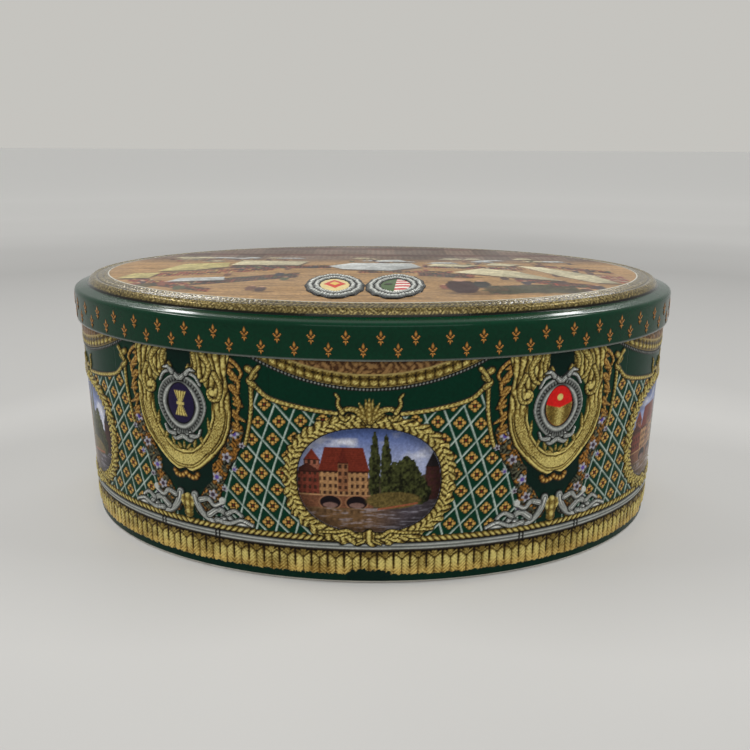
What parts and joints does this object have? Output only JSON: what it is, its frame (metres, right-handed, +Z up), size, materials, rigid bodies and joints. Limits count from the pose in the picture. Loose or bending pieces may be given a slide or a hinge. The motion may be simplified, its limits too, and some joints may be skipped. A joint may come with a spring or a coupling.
{
  "type": "cookie tin",
  "caption": "Oval pressed-metal storage tin with a hooked-in base and a slip-on lid with a straight skirt and rounded border, printed all round.",
  "frame": {"origin": "centre of the footprint, on the plane the tin stands on", "axes": "+X along the oval's length, +Y away from the side the picture shows, +Z up"},
  "size_m": [0.25, 0.174, 0.1008],
  "materials": {
    "wall_print": "glossy printed tinplate, dark green with gold and silver ornament",
    "tinplate": "bright bare tinplate",
    "lid_print": "glossy printed tinplate, dark green skirt, gold border, painted picture on top"
  },
  "bodies": {
    "tin": {"body_wall": "wall_print", "base_panel": "tinplate"},
    "lid": {"lid": "lid_print"}
  },
  "joints": [
    {"name": "lid_lift", "type": "slide", "parent": "tin", "child": "lid", "axis": [0, 0, 1], "range_m": [0, 0.15]}
  ]
}
